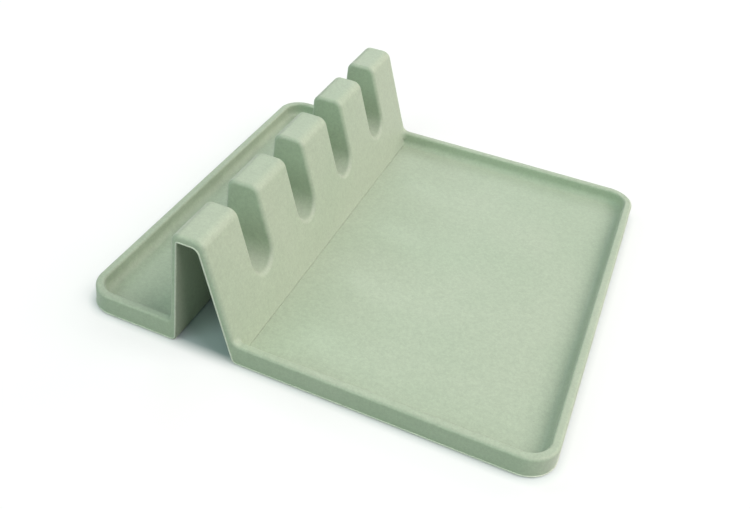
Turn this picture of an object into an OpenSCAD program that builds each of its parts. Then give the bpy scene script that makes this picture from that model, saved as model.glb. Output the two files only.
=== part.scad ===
// Spoon rest: one silicone moulding with a wide front tray, a narrow back tray and a hollow ridge
// between them, cut by U-shaped slots that hold the handles of utensils.
// The moulding is divided where its features meet: two trays, the hollow teeth of the ridge and
// the troughs between the teeth. +X points from the back tray to the front tray, +Y along the
// ridge and +Z up. The origin is the centre of the footprint, on the table.

/* [Overall] */
// Length along the ridge
rest_length = 165; // [145:1:240]
// Depth from the back rim to the front rim
rest_depth = 164; // [120:1:240]
// Height of the ridge above the table
ridge_height = 44.6; // [36:0.1:70]

/* [Trays] */
// Depth of the back tray at the table, from its rim's outer face to the ridge
back_tray_depth = 34.7; // [24:0.1:60]
// Height of the rim above the table
rim_height = 8; // [6.5:0.1:14]
// Width of the rim across its top
rim_width = 3.1; // [2.2:0.1:5]
// How much wider the rim gets towards the tray floor
rim_draft = 0.3; // [0:0.1:1]
// Thickness of the tray floors
floor_thickness = 2.6; // [1.6:0.1:4]
// Outer radius of the tray corners, seen from above
corner_radius = 10.4; // [9:0.1:30]

/* [Ridge] */
// Depth of the ridge's top from edge to edge, before its edges are rounded
crown_depth = 11.5; // [9:0.1:20]
// Distance that the back wall leans forward over its height
back_lean = 0.8; // [0:0.1:4]
// Distance that the front slope runs forward over its height
front_run = 14.8; // [6:0.1:30]
// Thickness of the back wall
back_wall = 2.4; // [1.8:0.1:3.4]
// Thickness of the front slope
front_wall = 2.7; // [1.8:0.1:3.6]
// Thickness of the ridge's top
crown_wall = 2.9; // [1.8:0.1:5]

/* [Slots] */
// Number of slots across the ridge
slot_count = 4; // [1:1:4]
// Distance from the middle of a slot to the middle of the next
slot_pitch = 35.7; // [24:0.1:46]
// Width of a slot at the top of the ridge
slot_mouth = 13.7; // [13.6:0.1:18]
// Radius of a slot's round floor
slot_floor_radius = 6.8; // [5:0.1:7.2]
// Height of a slot's floor above the table
slot_floor_height = 17.7; // [10:0.1:28]
// Thickness of the trough round a slot
slot_wall = 2.5; // [1.6:0.1:3.6]

/* [Edges] */
// Rounding of the rim's outer top edge
rim_outer_rounding = 1; // [0.4:0.1:1.3]
// Rounding of the rim's inner top edge
rim_inner_rounding = 0.8; // [0.4:0.1:1.5]
// Hollow rounding where the tray floor turns up into the rim
tray_fillet = 2.6; // [1:0.1:4]
// Hollow rounding where the tray floor turns up into the ridge
ridge_foot_fillet = 0.8; // [0.4:0.1:4]
// Hollow rounding where the rim's top turns up into the ridge
rim_rise_fillet = 2; // [1:0.1:5]
// Rounding of the ridge's back top edge
crown_back_rounding = 3.2; // [1:0.1:4.5]
// Rounding of the ridge's front top edge
crown_front_rounding = 4; // [1:0.1:7]
// Rounding inside the ridge, under its back top edge
hollow_back_rounding = 0.6; // [0.2:0.1:2]
// Rounding inside the ridge, under its front top edge
hollow_front_rounding = 2.8; // [1:0.1:5]
// Rounding of the ridge walls' inner edges at the table
foot_rounding = 1.8; // [0.5:0.1:1.8]

/* [Hidden] */
// Straight steps in each rounded edge
edge_steps = 8;
// Straight steps in a full circle of a slot's floor or a tray's corner
circle_steps = 96;
// How far a cut runs past the surface that it opens
overrun = 2;
// Sage green silicone
silicone_colour = [0.70, 0.77, 0.66];

teeth = [for (i = [1:slot_count + 1]) i];
slots = [for (i = [1:slot_count]) i];

slope_angle = atan(front_run / ridge_height);
back_angle = atan(back_lean / ridge_height);
hollow_height = ridge_height - crown_wall;
ridge_middle = back_tray_depth + back_lean + crown_depth / 2;
trough_half_width = slot_mouth / 2 + slot_wall;
slot_centre_height = slot_floor_height + slot_floor_radius;

// Distance of the ridge's back and front faces from the back rim, at height z
function back_face(z) = back_tray_depth + back_lean * z / ridge_height;
function front_face(z) = back_tray_depth + back_lean + crown_depth + front_run * (1 - z / ridge_height);
// The same for the hollow's back and front faces
function hollow_back(z) = back_face(z) + back_wall / cos(back_angle);
function hollow_front(z) = front_face(z) - front_wall / cos(slope_angle);

// Place of a slot's middle along the ridge, and where tooth i begins and ends
function slot_y(i) = (i - (slot_count + 1) / 2) * slot_pitch;
function tooth_start(i) = i == 1 ? -rest_length / 2 : slot_y(i - 1) + trough_half_width;
function tooth_end(i) = i > slot_count ? rest_length / 2 : slot_y(i) - trough_half_width;

// A vector's direction, and a vector turned by an angle
function unit(v) = v / norm(v);
function turned(v, angle) = [v.x * cos(angle) - v.y * sin(angle), v.x * sin(angle) + v.y * cos(angle)];

// Points of the arc of radius r that rounds corner b between its neighbours a and c
function corner_arc(a, b, c, r) =
    let (
        to_a = unit(a - b),
        to_c = unit(c - b),
        half = acos(to_a * to_c) / 2,
        centre = b + unit(to_a + to_c) * r / sin(half),
        first = b + to_a * r / tan(half) - centre,
        sweep = (180 - 2 * half) * (cross(to_a, to_c) > 0 ? -1 : 1)
    )
    [for (i = [0:edge_steps]) centre + turned(first, sweep * i / edge_steps)];

// An outline with its corners rounded: each entry of corners is [x, y, radius]
function rounded(corners) =
    let (count = len(corners), at = [for (k = corners) [k.x, k.y]])
    [for (i = [0:count - 1])
        each corners[i].z == 0
            ? [at[i]]
            : corner_arc(at[(i + count - 1) % count], at[i], at[(i + 1) % count], corners[i].z)];

// Section through the rim: first value inwards from the rim's outer face, second up
rim_section = rounded([
    [0, 0, 0],
    [0, rim_height, rim_outer_rounding],
    [rim_width, rim_height, rim_inner_rounding],
    [rim_width + rim_draft, floor_thickness, tray_fillet],
    [corner_radius, floor_thickness, 0],
    [corner_radius, 0, 0]
]);

// Outer section of the ridge, closed
block_section = rounded([
    [back_face(0), 0, 0],
    [back_face(ridge_height), ridge_height, crown_back_rounding],
    [front_face(ridge_height), ridge_height, crown_front_rounding],
    [front_face(0), 0, 0]
]);

// Section of the ridge's shell, open underneath
shell_section = rounded([
    [back_face(0), 0, 0],
    [back_face(ridge_height), ridge_height, crown_back_rounding],
    [front_face(ridge_height), ridge_height, crown_front_rounding],
    [front_face(0), 0, 0],
    [hollow_front(0), 0, foot_rounding],
    [hollow_front(hollow_height), hollow_height, hollow_front_rounding],
    [hollow_back(hollow_height), hollow_height, hollow_back_rounding],
    [hollow_back(0), 0, foot_rounding]
]);

// Moves from the back rim, where the sections start, to the centre of the footprint
module on_footprint() {
    translate([-rest_depth / 2, 0, 0])
        children();
}

// Extrudes a section in X and Z along the ridge
module along_ridge(from, to) {
    translate([0, to, 0])
        rotate([90, 0, 0])
            linear_extrude(to - from)
                children();
}

// Extrudes a section in Y and Z across the ridge
module across_ridge(from, to) {
    translate([from, 0, 0])
        rotate([90, 0, 90])
            linear_extrude(to - from)
                children();
}

// The room that the ridge takes, which the trays are cut back to
module ridge_room() {
    along_ridge(-rest_length / 2 - overrun, rest_length / 2 + overrun)
        polygon([
            [back_face(-overrun), -overrun],
            [back_face(ridge_height), ridge_height],
            [front_face(ridge_height), ridge_height],
            [front_face(-overrun), -overrun]
        ]);
}

// Face of the ridge that a tray meets, at height z: dir is 1 for the front tray, -1 for the back one
function face_at(z, dir) = dir > 0 ? front_face(z) : back_face(z);

// Floor or rim strip from under the ridge to x = reach, which turns up into the ridge's face
module strip_section(height, fillet, dir, reach) {
    above = height + fillet;
    foot = [face_at(height, dir), height];
    polygon(concat(
        [[ridge_middle, 0], [ridge_middle, above]],
        corner_arc([face_at(above, dir), above], foot, [reach, height], fillet),
        [[reach, height], [reach, 0]]
    ));
}

// The rim round one corner of the tray and along that end of it, up to the ridge
module rim_end(outer_x, dir) {
    straight_end = outer_x - dir * corner_radius;
    side = rest_length / 2;
    translate([straight_end, side - corner_radius, 0])
        mirror([dir < 0 ? 1 : 0, 0, 0])
            rotate_extrude(angle = 90, $fn = circle_steps)
                polygon([for (p = rim_section) [corner_radius - p.x, p.y]]);
    across_ridge(min(straight_end, ridge_middle), max(straight_end, ridge_middle))
        translate([side, 0])
            mirror([1, 0])
                polygon(rim_section);
}

// A tray between its rim's outer face at outer_x and the ridge's face
module tray(outer_x, dir) {
    straight_end = outer_x - dir * corner_radius;
    inner_half = rest_length / 2 - rim_width;
    difference() {
        union() {
            rim_end(outer_x, dir);
            mirror([0, 1, 0])
                rim_end(outer_x, dir);
            along_ridge(corner_radius - rest_length / 2, rest_length / 2 - corner_radius)
                translate([outer_x, 0])
                    mirror([dir > 0 ? 1 : 0, 0])
                        polygon(rim_section);
            along_ridge(-inner_half, inner_half)
                strip_section(floor_thickness, ridge_foot_fillet, dir, straight_end);
            for (end = [0, 1])
                mirror([0, end, 0])
                    along_ridge(inner_half + rim_inner_rounding, rest_length / 2 - rim_outer_rounding)
                        strip_section(rim_height, rim_rise_fillet, dir, straight_end);
        }
        ridge_room();
    }
}

// Outline of a slot across the ridge, grown on all sides by grow
module slot_outline(grow) {
    translate([0, slot_centre_height])
        circle(r = slot_floor_radius + grow, $fn = circle_steps);
    polygon([
        [-slot_floor_radius - grow, slot_centre_height],
        [slot_floor_radius + grow, slot_centre_height],
        [slot_mouth / 2 + grow, ridge_height],
        [slot_mouth / 2 + grow, ridge_height + overrun],
        [-slot_mouth / 2 - grow, ridge_height + overrun],
        [-slot_mouth / 2 - grow, ridge_height]
    ]);
}

// The wide drip tray in front of the ridge
module front_tray() {
    color(silicone_colour)
        on_footprint()
            tray(rest_depth, 1);
}

// The narrow tray behind the ridge
module back_tray() {
    color(silicone_colour)
        on_footprint()
            tray(0, -1);
}

// A hollow tooth of the ridge: back wall, top and front slope
module tooth(i) {
    color(silicone_colour)
        on_footprint()
            along_ridge(tooth_start(i), tooth_end(i))
                polygon(shell_section);
}

// A trough that carries one handle, with the ridge walls under it
module slot_trough(i) {
    from = slot_y(i) - trough_half_width;
    to = slot_y(i) + trough_half_width;
    color(silicone_colour)
        on_footprint()
            difference() {
                union() {
                    along_ridge(from, to)
                        polygon(shell_section);
                    intersection() {
                        along_ridge(from, to)
                            polygon(block_section);
                        translate([0, slot_y(i), 0])
                            across_ridge(0, rest_depth)
                                slot_outline(slot_wall);
                    }
                }
                translate([0, slot_y(i), 0])
                    across_ridge(0, rest_depth)
                        slot_outline(0);
            }
}

front_tray();
back_tray();
for (i = teeth) tooth(i);
for (i = slots) slot_trough(i);
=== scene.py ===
import math

import bpy
import numpy as np
from mathutils import Matrix, Vector


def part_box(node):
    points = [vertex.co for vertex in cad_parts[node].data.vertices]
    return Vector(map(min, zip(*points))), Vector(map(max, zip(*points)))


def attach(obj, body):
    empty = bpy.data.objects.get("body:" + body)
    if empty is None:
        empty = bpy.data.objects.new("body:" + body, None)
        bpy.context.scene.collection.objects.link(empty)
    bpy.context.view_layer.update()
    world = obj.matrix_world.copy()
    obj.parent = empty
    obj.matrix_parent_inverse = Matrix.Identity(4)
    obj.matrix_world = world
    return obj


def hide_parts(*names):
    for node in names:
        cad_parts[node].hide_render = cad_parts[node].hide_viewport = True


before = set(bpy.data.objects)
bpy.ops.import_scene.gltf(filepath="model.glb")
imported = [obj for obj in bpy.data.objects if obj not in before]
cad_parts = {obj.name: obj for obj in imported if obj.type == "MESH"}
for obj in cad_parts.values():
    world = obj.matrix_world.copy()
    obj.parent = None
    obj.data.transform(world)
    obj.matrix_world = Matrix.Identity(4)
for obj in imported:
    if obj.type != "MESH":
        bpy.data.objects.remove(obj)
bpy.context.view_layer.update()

# The spoon rest is one silicone moulding. Its surface is described here by distance fields, in
# millimetres, and meshed section by section: each section stands for one CAD node, and sections
# share the vertices of their seams, so no seam shows.
MM = 0.001

# Overall sizes, from the frame
DEPTH = (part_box("front_tray")[1].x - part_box("back_tray")[0].x) / MM
LENGTH = (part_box("front_tray")[1].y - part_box("front_tray")[0].y) / MM
RIDGE_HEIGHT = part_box("tooth_1")[1].z / MM

# Trays
BACK_TRAY_DEPTH = 34.7
RIM_HEIGHT = 8.0
RIM_WIDTH = 3.1
RIM_DRAFT = 0.3
TRAY_FLOOR = 2.6
CORNER_RADIUS = 10.4

# Ridge
CROWN_DEPTH = 11.5
BACK_LEAN = 0.8
FRONT_RUN = 14.8
BACK_WALL = 2.4
FRONT_WALL = 2.7
CROWN_WALL = 2.9

# Slots
SLOT_COUNT = 4
SLOT_PITCH = 35.7
SLOT_MOUTH = 13.7
SLOT_FLOOR_RADIUS = 6.8
SLOT_FLOOR_HEIGHT = 17.7
SLOT_WALL = 2.5
# The photographed slots sit nearer to the far end than the CAD's, by this much
SLOT_SHIFT = 0.6

# Roundings
RIM_OUTER_ROUNDING = 1.0
RIM_INNER_ROUNDING = 0.8
RIDGE_END_ROUNDING = 1.5
TRAY_FILLET = 2.6
RIDGE_FOOT_FILLET = 0.3
RIM_RISE_FILLET = 2.0
CROWN_BACK_ROUNDING = 3.2
CROWN_FRONT_ROUNDING = 4.0
SLOT_EDGE_ROUNDING = 1.5
HOLLOW_BACK_ROUNDING = 0.6
HOLLOW_FRONT_ROUNDING = 2.8
HOLLOW_TROUGH_FILLET = 1.5
FOOT_ROUNDING = 1.8
MOULD_EDGE_ROUNDING = 0.3

# A fine groove runs along the ridge's foot in the front tray
FOOT_GROOVE = 0.1

# The parting line stands proud of the moulding by this much, so the walls are drawn in by it
PARTING_PROUD = 0.25
PARTING_HEIGHT = 0.75
PARTING_INSET = 0.3
BOTTOM_EDGE_ROUNDING = 0.65
BOTTOM_BAND = 3.0

# The foot of the ridge's front face at the table, as a distance from the back rim
FRONT_FOOT = BACK_TRAY_DEPTH + BACK_LEAN + CROWN_DEPTH + FRONT_RUN

# The ridge's sections reach from a little behind its back face to the foot of its front face
BEHIND_BACK_FACE = 1.2
BACK_CUT = BACK_TRAY_DEPTH - BEHIND_BACK_FACE
FRONT_CUT = FRONT_FOOT

BACK_ANGLE = math.atan(BACK_LEAN / RIDGE_HEIGHT)
SLOPE_ANGLE = math.atan(FRONT_RUN / RIDGE_HEIGHT)
SLOT_CENTRE_HEIGHT = SLOT_FLOOR_HEIGHT + SLOT_FLOOR_RADIUS
SLOT_DRAFT = math.atan((SLOT_MOUTH / 2 - SLOT_FLOOR_RADIUS) / (RIDGE_HEIGHT - SLOT_CENTRE_HEIGHT))
TROUGH_HALF = SLOT_MOUTH / 2 + SLOT_WALL
SLOT_PLACES = [(i - (SLOT_COUNT - 1) / 2) * SLOT_PITCH for i in range(SLOT_COUNT)]

# Keeps divisions and round numbers safe
TINY = 1e-9


def rounded_common(a, b, radius, cosine=0.0):
    """Distance to what two shapes share, its edge rounded.

    cosine is that of the angle between the shapes' normals.
    """
    p, q = a + radius, b + radius
    in_corner = (p > cosine * q) & (q > cosine * p)
    squared = (p * p + q * q - 2 * cosine * p * q) / (1 - cosine * cosine)
    return np.where(in_corner, np.sqrt(np.maximum(squared, 0)) - radius, np.maximum(a, b))


def rounded_sum(a, b, radius, cosine=0.0):
    """Distance to two shapes together, with a hollow rounding where they meet."""
    return -rounded_common(-a, -b, radius, cosine)


def outline(x, y):
    """Distance to the footprint, a rectangle with round corners."""
    out_x = np.abs(x) - (DEPTH / 2 - PARTING_PROUD - CORNER_RADIUS)
    out_y = np.abs(y) - (LENGTH / 2 - PARTING_PROUD - CORNER_RADIUS)
    outside = np.hypot(np.maximum(out_x, 0), np.maximum(out_y, 0))
    return outside + np.minimum(np.maximum(out_x, out_y), 0) - CORNER_RADIUS


def back_face(x, z):
    """Distance in front of the plane of the ridge's back face, negative in the ridge."""
    return (BACK_TRAY_DEPTH - DEPTH / 2 + BACK_LEAN * z / RIDGE_HEIGHT - x) * math.cos(BACK_ANGLE)


def front_face(x, z):
    """Distance in front of the plane of the ridge's front face, negative in the ridge."""
    foot = FRONT_FOOT - DEPTH / 2
    return (x - foot + FRONT_RUN * z / RIDGE_HEIGHT) * math.cos(SLOPE_ANGLE)


def ridge_block(x, z, inset_back, inset_front, inset_top, back_rounding, front_rounding):
    """Distance to the ridge's section, drawn in by the given wall thicknesses."""
    back = back_face(x, z) + inset_back
    front = front_face(x, z) + inset_front
    top = z - RIDGE_HEIGHT + inset_top
    back_half = rounded_common(back, top, back_rounding, math.sin(BACK_ANGLE))
    front_half = rounded_common(front, top, front_rounding, math.sin(SLOPE_ANGLE))
    return np.maximum(back_half, front_half)


def slots(y, z):
    """Distance to the nearest slot: a round floor with sides that open slightly upwards."""
    along = y - SLOT_SHIFT
    nearest = np.clip(np.round(along / SLOT_PITCH + (SLOT_COUNT - 1) / 2), 0, SLOT_COUNT - 1)
    across = np.abs(along - (nearest - (SLOT_COUNT - 1) / 2) * SLOT_PITCH)
    up = z - SLOT_CENTRE_HEIGHT
    beside = across * math.cos(SLOT_DRAFT) - up * math.sin(SLOT_DRAFT)
    beside_side = across * math.sin(SLOT_DRAFT) + up * math.cos(SLOT_DRAFT) > 0
    return np.where(beside_side, beside, np.hypot(across, up)) - SLOT_FLOOR_RADIUS


def moulding(x, y, z):
    """Distance to the whole moulding, negative inside it."""
    footprint = outline(x, y)
    draft = RIM_DRAFT * (RIM_HEIGHT - z) / (RIM_HEIGHT - TRAY_FLOOR)
    pocket = rounded_common(footprint + RIM_WIDTH + draft, TRAY_FLOOR - z, TRAY_FILLET)
    trays = rounded_common(z - RIM_HEIGHT, -pocket, RIM_INNER_ROUNDING)
    ridge = ridge_block(x, z, 0, 0, 0, CROWN_BACK_ROUNDING, CROWN_FRONT_ROUNDING)
    slot = slots(y, z)
    fillet = np.where(z > (TRAY_FLOOR + RIM_HEIGHT) / 2, RIM_RISE_FILLET, RIDGE_FOOT_FILLET)
    groove = np.hypot(front_face(x, z), z - TRAY_FLOOR) - FOOT_GROOVE
    groove = np.maximum(groove, footprint + RIM_WIDTH + TRAY_FILLET)
    above_rim = np.clip((z - RIM_HEIGHT) / RIM_HEIGHT, 0, 1)
    edge = RIM_OUTER_ROUNDING + (RIDGE_END_ROUNDING - RIM_OUTER_ROUNDING) * above_rim
    outer = rounded_common(rounded_sum(trays, ridge, fillet), footprint, edge)
    outer = np.maximum(outer, -groove)
    outer = rounded_common(outer, -slot, SLOT_EDGE_ROUNDING)
    hollow = ridge_block(x, z, BACK_WALL, FRONT_WALL, CROWN_WALL,
                         HOLLOW_BACK_ROUNDING, HOLLOW_FRONT_ROUNDING)
    hollow = rounded_common(hollow, SLOT_WALL - slot, HOLLOW_TROUGH_FILLET)
    above_table = rounded_common(-z, -hollow, FOOT_ROUNDING)
    low = np.clip(1 - z / BOTTOM_BAND, 0, 1)
    lower_edge = MOULD_EDGE_ROUNDING + (BOTTOM_EDGE_ROUNDING - MOULD_EDGE_ROUNDING) * low
    return rounded_common(outer, above_table, lower_edge)


def gradient(points, step=0.01):
    """Slope of the moulding's distance at each point."""
    slope = np.empty_like(points)
    for axis in range(3):
        ahead, behind = points.copy(), points.copy()
        ahead[:, axis] += step
        behind[:, axis] -= step
        slope[:, axis] = (moulding(*ahead.T) - moulding(*behind.T)) / (2 * step)
    return slope


def spaced(*bands):
    """Grid lines along one axis. Each band is (start, end, widest step)."""
    lines = [np.array([bands[0][0]])]
    for start, end, step in bands:
        count = max(1, math.ceil((end - start) / step - TINY))
        lines.append(np.linspace(start, end, count + 1)[1:])
    return np.concatenate(lines)


# Widest steps between grid lines
FINEST = 0.4
FINE = 0.45
MEDIUM = 0.55
COARSE = 2.0
GROOVE_STEP = 0.12

# How far the grid goes past the moulding, and how far its close lines reach: inwards from the rim's
# outer faces, on both sides of the groove, behind and in front of the ridge, past a trough's sides,
# up from the table and down from the ridge's top
MARGIN = 0.7
CORNER_BAND = 12.5
GROOVE_BAND = 0.6
BEHIND_RIDGE = 4
AHEAD_OF_RIDGE = 3
TROUGH_BAND = 0.8
TRAY_BAND = 12
CROWN_BAND = 6


def grid_lines():
    """Grid lines along X, Y and Z, close together where the surface turns."""
    half_x, half_y = DEPTH / 2, LENGTH / 2
    ridge_from = BACK_TRAY_DEPTH - half_x - BEHIND_RIDGE
    ridge_to = FRONT_FOOT - half_x + AHEAD_OF_RIDGE
    foot = FRONT_FOOT - half_x - FRONT_RUN * TRAY_FLOOR / RIDGE_HEIGHT
    along_x = spaced(
        (-half_x - MARGIN, -half_x + CORNER_BAND, FINE),
        (-half_x + CORNER_BAND, ridge_from, COARSE),
        (ridge_from, foot - GROOVE_BAND, MEDIUM),
        (foot - GROOVE_BAND, foot + GROOVE_BAND, GROOVE_STEP),
        (foot + GROOVE_BAND, ridge_to, MEDIUM),
        (ridge_to, half_x - CORNER_BAND, COARSE),
        (half_x - CORNER_BAND, half_x + MARGIN, FINE),
    )
    bands = [(-half_y - MARGIN, -half_y + CORNER_BAND, FINE)]
    reach = TROUGH_HALF + SLOT_SHIFT + TROUGH_BAND
    for place in SLOT_PLACES:
        bands.append((bands[-1][1], place - reach, COARSE))
        bands.append((place - reach, place + reach, MEDIUM))
    bands.append((bands[-1][1], half_y - CORNER_BAND, COARSE))
    bands.append((half_y - CORNER_BAND, half_y + MARGIN, FINE))
    along_z = spaced(
        (-MARGIN, TRAY_FLOOR - GROOVE_BAND, FINEST),
        (TRAY_FLOOR - GROOVE_BAND, TRAY_FLOOR + GROOVE_BAND, GROOVE_STEP),
        (TRAY_FLOOR + GROOVE_BAND, TRAY_BAND, FINEST),
        (TRAY_BAND, RIDGE_HEIGHT - CROWN_BAND, MEDIUM),
        (RIDGE_HEIGHT - CROWN_BAND, RIDGE_HEIGHT + MARGIN, FINEST),
    )
    return along_x, spaced(*bands), along_z


# The eight corners of a cell, and the pairs of them that its twelve edges join
CORNERS = [(i, j, k) for i in (0, 1) for j in (0, 1) for k in (0, 1)]
EDGES = [(a, b) for a in range(8) for b in range(a + 1, 8)
         if sum(u != v for u, v in zip(CORNERS[a], CORNERS[b])) == 1]

# Vertices are drawn onto the surface in this many steps, none longer than the longest
PROJECTION_STEPS = 6
LONGEST_STEP = 0.5
LEAST_SLOPE = 1e-4
FAR_INSIDE = -1e3


class Section:
    """A box of the moulding, between planes given as (axis, place, side): side 1 keeps what lies above."""

    def __init__(self, name, planes):
        self.name = name
        self.planes = planes

    def box_distance(self, lines):
        """Distance to the box on the grid, as three arrays that broadcast."""
        found = np.full((1, 1, 1), FAR_INSIDE)
        for axis, place, side in self.planes:
            shape = [1, 1, 1]
            shape[axis] = -1
            found = np.maximum(found, (side * (place - lines[axis])).reshape(shape))
        return found


def mesh_section(section, lines, field):
    """Vertices, faces, and each face's being an outer one, by surface nets."""
    inside_box = section.box_distance(lines)
    whole = np.maximum(field, inside_box)
    solid = whole < 0
    cells = tuple(n - 1 for n in solid.shape)
    full = np.ones(cells, bool)
    empty = np.ones(cells, bool)
    for i, j, k in CORNERS:
        corner = solid[i:i + cells[0], j:j + cells[1], k:k + cells[2]]
        full &= corner
        empty &= ~corner
    at = np.argwhere(~(full | empty))
    number = np.full(cells, -1, np.int64)
    number[tuple(at.T)] = np.arange(len(at))

    grid = [np.stack([lines[a][at[:, a]], lines[a][at[:, a] + 1]], 1) for a in range(3)]
    values = np.stack([field[at[:, 0] + i, at[:, 1] + j, at[:, 2] + k] for i, j, k in CORNERS], 1)
    places = np.stack([np.stack([grid[a][:, c[a]] for a in range(3)], 1) for c in CORNERS], 1)
    total = np.zeros((len(at), 3))
    crossings = np.zeros(len(at))
    for a, b in EDGES:
        crossed = (values[:, a] < 0) != (values[:, b] < 0)
        share = np.where(crossed, values[:, a] / np.where(crossed, values[:, a] - values[:, b], 1), 0)
        total += crossed[:, None] * (places[:, a] + share[:, None] * (places[:, b] - places[:, a]))
        crossings += crossed
    middle = places.mean(1)
    on_surface = crossings > 0
    points = np.where(on_surface[:, None], total / np.maximum(crossings, 1)[:, None], middle)

    free = np.ones_like(points)
    for axis, place, _ in section.planes:
        cut = (grid[axis][:, 0] <= place) & (place < grid[axis][:, 1])
        points[cut] = middle[cut]
        free[cut, axis] = 0
    for axis, place, _ in section.planes:
        held = free[:, axis] == 0
        was = points[held, axis]
        points[held, axis] = np.where(np.abs(was - place) < COARSE, place, was)

    moving = points[on_surface]
    may_move = free[on_surface]
    for _ in range(PROJECTION_STEPS):
        slope = gradient(moving) * may_move
        reach = np.maximum((slope ** 2).sum(1), LEAST_SLOPE)
        step = slope * (moulding(*moving.T) / reach)[:, None]
        moving = moving - np.clip(step, -LONGEST_STEP, LONGEST_STEP)
    points[on_surface] = moving

    faces, outer = [], []
    outside = field < 0
    for axis in range(3):
        u, v = (axis + 1) % 3, (axis + 2) % 3
        low = [slice(None)] * 3
        high = [slice(None)] * 3
        low[axis], high[axis] = slice(None, -1), slice(1, None)
        changes = solid[tuple(low)] != solid[tuple(high)]
        where = np.argwhere(changes)
        inner = (where[:, u] > 0) & (where[:, v] > 0) & (where[:, u] < cells[u]) & (where[:, v] < cells[v])
        where = where[inner]
        start = tuple(where.T)
        end = where.copy()
        end[:, axis] += 1
        end = tuple(end.T)
        quad = []
        for du, dv in ((1, 1), (0, 1), (0, 0), (1, 0)):
            cell = where.copy()
            cell[:, u] -= du
            cell[:, v] -= dv
            quad.append(number[tuple(cell.T)])
        quad = np.stack(quad, 1)
        flip = ~solid[start]
        quad[flip] = quad[flip][:, ::-1]
        faces.append(quad)
        outer.append(outside[start] != outside[end])
    return points, np.concatenate(faces), np.concatenate(outer)


def build_section(section, lines, field, material):
    """A mesh object for one section, with the moulding's own normals on its outer faces."""
    points, faces, outer = mesh_section(section, lines, field)
    mesh = bpy.data.meshes.new(section.name + "_moulded")
    mesh.from_pydata((points * MM).tolist(), [], faces.tolist())
    mesh.polygons.foreach_set("use_smooth", np.ones(len(faces), bool))
    slope = gradient(points)
    slope /= np.maximum(np.linalg.norm(slope, axis=1), TINY)[:, None]
    flat = np.empty(len(faces) * 3, np.float32)
    mesh.polygons.foreach_get("normal", flat)
    flat = flat.reshape(-1, 3)
    corner_normals = np.where(outer[:, None, None], slope[faces], flat[:, None, :])
    mesh.normals_split_custom_set(corner_normals.reshape(-1, 3).tolist())
    mesh.materials.append(material)
    piece = bpy.data.objects.new(section.name + "_moulded", mesh)
    bpy.context.scene.collection.objects.link(piece)
    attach(piece, "root")
    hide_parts(section.name)


def sections():
    """One section for each CAD node, between planes that cross the surface squarely."""
    back, front = BACK_CUT - DEPTH / 2, FRONT_CUT - DEPTH / 2
    found = [Section("front_tray", [(0, front, 1)]), Section("back_tray", [(0, back, -1)])]
    across = [(0, back, 1), (0, front, -1)]
    for i in range(SLOT_COUNT + 1):
        planes = list(across)
        if i > 0:
            planes.append((1, SLOT_PLACES[i - 1] + TROUGH_HALF, 1))
        if i < SLOT_COUNT:
            planes.append((1, SLOT_PLACES[i] - TROUGH_HALF, -1))
        found.append(Section(f"tooth_{i + 1}", planes))
    for i, place in enumerate(SLOT_PLACES):
        planes = across + [(1, place - TROUGH_HALF, 1), (1, place + TROUGH_HALF, -1)]
        found.append(Section(f"slot_trough_{i + 1}", planes))
    return found


def rounded_loop(corners, steps=8):
    """Points of a closed line whose corners, given as (place, radius), are turned into arcs."""
    line = []
    for i, (corner, radius) in enumerate(corners):
        before = (corners[i - 1][0] - corner).normalized()
        after = (corners[(i + 1) % len(corners)][0] - corner).normalized()
        half = before.angle(after) / 2
        centre = corner + (before + after).normalized() * radius / math.sin(half)
        first = (corner + before * radius / math.tan(half) - centre).normalized()
        across = (corner + after * radius / math.tan(half) - centre).normalized()
        across = (across - first * across.dot(first)).normalized()
        for k in range(steps + 1):
            turn = (math.pi - 2 * half) * k / steps
            line.append(centre + radius * (math.cos(turn) * first + math.sin(turn) * across))
    return line


def parting_loop():
    """Where the mould's halves met: round both trays at the table, and over the hollow at each end."""
    half_x, half_y = DEPTH / 2 - PARTING_PROUD, LENGTH / 2 - PARTING_PROUD
    top = RIDGE_HEIGHT - CROWN_WALL + PARTING_INSET

    def front_x(z):
        foot = FRONT_FOOT - DEPTH / 2
        return foot - FRONT_RUN * z / RIDGE_HEIGHT - (FRONT_WALL - PARTING_INSET) / math.cos(SLOPE_ANGLE)

    def back_x(z):
        wall = (BACK_WALL - PARTING_INSET) / math.cos(BACK_ANGLE)
        return BACK_TRAY_DEPTH - DEPTH / 2 + BACK_LEAN * z / RIDGE_HEIGHT + wall

    arch = [
        (front_x(PARTING_HEIGHT), PARTING_HEIGHT, FOOT_ROUNDING),
        (front_x(top), top, HOLLOW_FRONT_ROUNDING + PARTING_INSET),
        (back_x(top), top, HOLLOW_BACK_ROUNDING + PARTING_INSET),
        (back_x(PARTING_HEIGHT), PARTING_HEIGHT, FOOT_ROUNDING),
    ]
    corners = [(Vector((x, -half_y, z)), radius) for x, z, radius in arch]
    corners += [(Vector((-half_x, side * half_y, PARTING_HEIGHT)), CORNER_RADIUS) for side in (-1, 1)]
    corners += [(Vector((x, half_y, z)), radius) for x, z, radius in reversed(arch)]
    corners += [(Vector((half_x, side * half_y, PARTING_HEIGHT)), CORNER_RADIUS) for side in (1, -1)]
    return rounded_loop(corners)


def wall_normal(place):
    """Which way the footprint's wall faces at a place on it."""
    beyond_x = abs(place.x) - (DEPTH / 2 - PARTING_PROUD - CORNER_RADIUS)
    beyond_y = abs(place.y) - (LENGTH / 2 - PARTING_PROUD - CORNER_RADIUS)
    along_x = math.copysign(max(beyond_x, 0), place.x)
    along_y = math.copysign(max(beyond_y, 0), place.y)
    return Vector((along_x, along_y, 0)).normalized()


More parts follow.
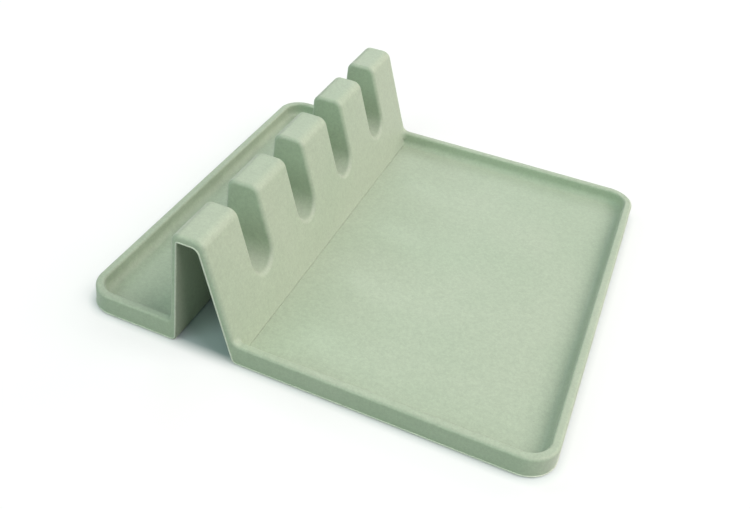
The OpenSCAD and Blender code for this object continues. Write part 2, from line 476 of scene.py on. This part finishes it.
def build_parting_line(material, sides=8):
    """The fine raised line that the mould leaves."""
    loop = parting_loop()
    count = len(loop)
    points, faces = [], []
    for i, place in enumerate(loop):
        ahead = (loop[(i + 1) % count] - loop[i - 1]).normalized()
        outwards = wall_normal(place)
        sideways = ahead.cross(outwards)
        for k in range(sides):
            turn = 2 * math.pi * k / sides
            way = math.cos(turn) * outwards + math.sin(turn) * sideways
            points.append((place + PARTING_PROUD * way) * MM)
            here, after = i * sides, (i + 1) % count * sides
            faces.append((here + k, here + (k + 1) % sides, after + (k + 1) % sides, after + k))
    mesh = bpy.data.meshes.new("parting_line")
    mesh.from_pydata(points, [], faces)
    mesh.polygons.foreach_set("use_smooth", np.ones(len(faces), bool))
    mesh.materials.append(material)
    line = bpy.data.objects.new("parting_line", mesh)
    bpy.context.scene.collection.objects.link(line)
    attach(line, "root")


# Sage green of the moulding, and the paler tone of its thin parting line, which is a painted highlight for
# the light the thin line catches
SAGE_DARK = (0.454, 0.563, 0.416, 1)
SAGE_LIGHT = (0.481, 0.580, 0.438, 1)
PARTING_HIGHLIGHT_DARK = (0.685, 0.77, 0.645, 1)
PARTING_HIGHLIGHT_LIGHT = (0.71, 0.79, 0.66, 1)

# How matte the silicone is, with the dusty sheen of its surface
ROUGHNESS = 0.5
SPECULAR = 0.5
SHEEN = 0.35
SHEEN_ROUGHNESS = 0.35

# Mottling between the two tones: its scale, and where on the noise each tone is reached
MOTTLING_SCALE = 22
MOTTLING_FROM = 0.35
MOTTLING_TO = 0.65

# Layers of grain, each as scale, detail and depth, and where on the noise each layer starts and ends
GRAIN = ((2200, 2, 0.11), (900, 1, 0.09), (330, 1, 0.045))
GRAIN_ROUGHNESS = 0.6
GRAIN_FROM = 0.3
GRAIN_TO = 0.7

# Kinds of speck, each as scale, shade, and the radii of its core and of its edge
SPECKS = ((70, 0.80, 0.010, 0.024), (31, 0.55, 0.004, 0.009))

# Unevenness of the surface, which the mould's own finish leaves
BUMP_SCALE = 3200
BUMP_DETAIL = 4
BUMP_ROUGHNESS = 0.65
BUMP_STRENGTH = 0.25
BUMP_DISTANCE = 0.0001


def silicone(name, dark, light):
    """Matte silicone with a fine grain, faint mottling between two colours and a few specks of dust."""
    material = bpy.data.materials.new(name)
    material.use_nodes = True
    nodes, links = material.node_tree.nodes, material.node_tree.links
    shader = nodes["Principled BSDF"]
    shader.inputs["Roughness"].default_value = ROUGHNESS
    shader.inputs["Specular IOR Level"].default_value = SPECULAR
    shader.inputs["Sheen Weight"].default_value = SHEEN
    shader.inputs["Sheen Roughness"].default_value = SHEEN_ROUGHNESS

    place = nodes.new("ShaderNodeTexCoord").outputs["Object"]

    def noise(scale, detail, roughness=0.5):
        node = nodes.new("ShaderNodeTexNoise")
        node.inputs["Scale"].default_value = scale
        node.inputs["Detail"].default_value = detail
        node.inputs["Roughness"].default_value = roughness
        links.new(place, node.inputs["Vector"])
        return node.outputs["Fac"]

    def ramp(value, stops):
        node = nodes.new("ShaderNodeValToRGB")
        elements = node.color_ramp.elements
        elements[0].position, elements[0].color = stops[0]
        elements[1].position, elements[1].color = stops[1]
        links.new(value, node.inputs["Fac"])
        return node.outputs["Color"]

    def mixed(mode, share, first, second):
        node = nodes.new("ShaderNodeMix")
        node.data_type = "RGBA"
        node.blend_type = mode
        node.inputs["Factor"].default_value = share
        links.new(first, node.inputs["A"])
        links.new(second, node.inputs["B"])
        return node.outputs["Result"]

    def darkened(colour, value, shade, from_value, to_value):
        layer = ramp(value, [(from_value, (shade, shade, shade, 1)), (to_value, (1, 1, 1, 1))])
        return mixed("MULTIPLY", 1.0, colour, layer)

    colour = ramp(noise(MOTTLING_SCALE, 2), [(MOTTLING_FROM, dark), (MOTTLING_TO, light)])
    for scale, detail, depth in GRAIN:
        grain = noise(scale, detail, GRAIN_ROUGHNESS)
        colour = darkened(colour, grain, 1 - depth, GRAIN_FROM, GRAIN_TO)
    for scale, shade, core, edge in SPECKS:
        speck = nodes.new("ShaderNodeTexVoronoi")
        speck.inputs["Scale"].default_value = scale
        links.new(place, speck.inputs["Vector"])
        colour = darkened(colour, speck.outputs["Distance"], shade, core, edge)
    links.new(colour, shader.inputs["Base Color"])

    bump = nodes.new("ShaderNodeBump")
    bump.inputs["Strength"].default_value = BUMP_STRENGTH
    bump.inputs["Distance"].default_value = BUMP_DISTANCE
    links.new(noise(BUMP_SCALE, BUMP_DETAIL, BUMP_ROUGHNESS), bump.inputs["Height"])
    links.new(bump.outputs["Normal"], shader.inputs["Normal"])
    return material


# The table: its half width in metres, its finish, its tones to the camera, outside the object's
# footprint and under it, where the darker tone is painted shade, and the tones with which it throws light
# back in the same two places, the darker one under the footprint painting shade onto the hollow's walls
TABLE_HALF = 6.0
TABLE_ROUGHNESS = 0.9
TABLE_SPECULAR = 0.1
TABLE_TONE = (0.907, 0.985, 0.945, 1)
TABLE_PAINTED_SHADE_UNDER = (0.47, 0.55, 0.58, 1)
TABLE_BOUNCE = (0.37, 0.40, 0.37, 1)
TABLE_BOUNCE_PAINTED_SHADE_UNDER = (0.07, 0.12, 0.05, 1)

# How much the table glows to the camera outside the footprint, and where that starts and is complete,
# in millimetres outwards from the footprint's edge
TABLE_GLOW = 0.6
TABLE_GLOW_STARTS = -3.0
TABLE_GLOW_ENDS = 3.0


def floor_material():
    """Pale floor that keeps the object's shadow.

    To the camera it is near white and glows faintly outside the object's footprint; under the footprint it
    is darker, which is painted shade. It throws back less light than a white floor would, and less again
    under the footprint, which paints shade onto the hollow's walls.
    """
    material = bpy.data.materials.new("pale_floor")
    material.use_nodes = True
    nodes, links = material.node_tree.nodes, material.node_tree.links
    shader = nodes["Principled BSDF"]
    shader.inputs["Roughness"].default_value = TABLE_ROUGHNESS
    shader.inputs["Specular IOR Level"].default_value = TABLE_SPECULAR

    def calculated(operation, first, second):
        node = nodes.new("ShaderNodeMath")
        node.operation = operation
        for socket, value in zip(node.inputs, (first, second)):
            if isinstance(value, float):
                socket.default_value = value
            else:
                links.new(value, socket)
        return node.outputs[0]

    path = nodes.new("ShaderNodeLightPath")
    seen = calculated("MAXIMUM", path.outputs["Is Camera Ray"], path.outputs["Is Glossy Ray"])
    seen = calculated("MAXIMUM", seen, path.outputs["Is Transmission Ray"])

    split = nodes.new("ShaderNodeSeparateXYZ")
    links.new(nodes.new("ShaderNodeTexCoord").outputs["Object"], split.inputs[0])
    squares = []
    for axis, half in (("X", DEPTH / 2), ("Y", LENGTH / 2)):
        away = calculated("ABSOLUTE", split.outputs[axis], 0.0)
        past = calculated("SUBTRACT", away, (half - CORNER_RADIUS) * MM)
        squares.append(calculated("POWER", calculated("MAXIMUM", past, 0.0), 2.0))
    from_corner = calculated("SQRT", calculated("ADD", *squares), 0.0)
    beyond = nodes.new("ShaderNodeMapRange")
    beyond.inputs["From Min"].default_value = TABLE_GLOW_STARTS * MM
    beyond.inputs["From Max"].default_value = TABLE_GLOW_ENDS * MM
    links.new(calculated("SUBTRACT", from_corner, CORNER_RADIUS * MM), beyond.inputs["Value"])

    def blended(factor, first, second):
        node = nodes.new("ShaderNodeMix")
        node.data_type = "RGBA"
        links.new(factor, node.inputs["Factor"])
        for name, value in (("A", first), ("B", second)):
            if isinstance(value, tuple):
                node.inputs[name].default_value = value
            else:
                links.new(value, node.inputs[name])
        return node.outputs["Result"]

    # Under the footprint both tones are darker: painted shade on the table in the hollow, and painted shade
    # on the hollow's walls through less light thrown back
    tone = blended(beyond.outputs["Result"], TABLE_PAINTED_SHADE_UNDER, TABLE_TONE)
    bounce = blended(beyond.outputs["Result"], TABLE_BOUNCE_PAINTED_SHADE_UNDER, TABLE_BOUNCE)
    links.new(blended(seen, bounce, tone), shader.inputs["Base Color"])
    glow = nodes.new("ShaderNodeEmission")
    either = nodes.new("ShaderNodeMixShader")
    share = calculated("MULTIPLY", beyond.outputs["Result"], TABLE_GLOW)
    links.new(calculated("MULTIPLY", share, seen), either.inputs[0])
    links.new(shader.outputs[0], either.inputs[1])
    links.new(glow.outputs[0], either.inputs[2])
    links.new(either.outputs[0], nodes["Material Output"].inputs["Surface"])
    return material


def make_floor():
    """A wide floor under the object."""
    corners = [(x * TABLE_HALF, y * TABLE_HALF, 0) for x, y in ((-1, -1), (1, -1), (1, 1), (-1, 1))]
    mesh = bpy.data.meshes.new("floor")
    mesh.from_pydata(corners, [], [(0, 1, 2, 3)])
    mesh.materials.append(floor_material())
    floor = bpy.data.objects.new("floor", mesh)
    bpy.context.scene.collection.objects.link(floor)


# Camera, fitted to the photograph's edges in its frame of 750 by 509 pixels
IMAGE_WIDTH = 750
FOCAL_LENGTH_PX = 910.66
SHIFT_PX = (-70.6, -75.93)
CAMERA_AZIMUTH = 22.5
CAMERA_ELEVATION = 32.765
CAMERA_ROLL = -4.618
CAMERA_PLACE = (0.07729, -0.27600, 0.21431)
SENSOR_WIDTH = 36
CLIP_START = 0.01
CLIP_END = 50


def make_camera():
    """The camera at the photograph's viewing angle."""
    azimuth, elevation, roll = (math.radians(v) for v in (CAMERA_AZIMUTH, CAMERA_ELEVATION, CAMERA_ROLL))
    ahead = Vector((-math.sin(azimuth) * math.cos(elevation), math.cos(azimuth) * math.cos(elevation),
                    -math.sin(elevation)))
    level_right = Vector((math.cos(azimuth), math.sin(azimuth), 0))
    level_down = ahead.cross(level_right)
    right = math.cos(roll) * level_right + math.sin(roll) * level_down
    down = -math.sin(roll) * level_right + math.cos(roll) * level_down
    turn = Matrix((right, -down, -ahead)).transposed().to_4x4()
    data = bpy.data.cameras.new("camera")
    data.sensor_width = SENSOR_WIDTH
    data.lens = FOCAL_LENGTH_PX / IMAGE_WIDTH * data.sensor_width
    data.shift_x = -SHIFT_PX[0] / IMAGE_WIDTH
    data.shift_y = SHIFT_PX[1] / IMAGE_WIDTH
    data.clip_start = CLIP_START
    data.clip_end = CLIP_END
    camera = bpy.data.objects.new("camera", data)
    camera.matrix_world = Matrix.Translation(CAMERA_PLACE) @ turn
    bpy.context.scene.collection.objects.link(camera)
    bpy.context.scene.camera = camera


# Soft lamps, each as azimuth, elevation and width in degrees, strength and colour
LAMPS = {
    "key": (5, 49, 52, 2.66, (1.0, 0.865, 0.897)),
    "side": (60, 20, 34, 0.80, (1.0, 0.95, 0.79)),
    "far": (106, 34, 32, 0.49, (0.89, 0.95, 1.0)),
    "back": (168, 38, 15, 0.50, (0.93, 0.84, 1.0)),
    "near": (238, 37, 36, 0.97, (0.82, 1.0, 0.915)),
    "low": (290, 15, 30, 0.29, (0.925, 1.0, 0.99)),
    "over": (280, 58, 30, 0.36, (0.82, 1.0, 0.83)),
}
SKY = (0.016, 0.035, 0.023, 1)


def make_lights():
    """A broad light over the front tray, weaker ones all round it, and a dim sky."""
    world = bpy.data.worlds.new("studio")
    world.use_nodes = True
    world.node_tree.nodes["Background"].inputs["Color"].default_value = SKY
    bpy.context.scene.world = world
    for name, (azimuth, elevation, width, strength, tint) in LAMPS.items():
        azimuth, elevation = math.radians(azimuth), math.radians(elevation)
        to_light = Vector((math.cos(elevation) * math.cos(azimuth), math.cos(elevation) * math.sin(azimuth),
                           math.sin(elevation)))
        data = bpy.data.lights.new(name, "SUN")
        data.energy = strength
        data.color = tint
        data.angle = math.radians(width)
        lamp = bpy.data.objects.new(name, data)
        lamp.rotation_mode = "QUATERNION"
        lamp.rotation_quaternion = to_light.to_track_quat("Z", "Y")
        bpy.context.scene.collection.objects.link(lamp)


def main():
    make_camera()
    make_lights()
    make_floor()
    material = silicone("silicone", SAGE_DARK, SAGE_LIGHT)
    lines = grid_lines()
    field = moulding(lines[0][:, None, None], lines[1][None, :, None], lines[2][None, None, :])
    for section in sections():
        build_section(section, lines, field, material)
    # The parting line's paler tone is a painted highlight along its thin edge
    build_parting_line(silicone("parting_line_painted_highlight", PARTING_HIGHLIGHT_DARK, PARTING_HIGHLIGHT_LIGHT))
    bpy.context.scene.view_settings.view_transform = "Standard"


main()
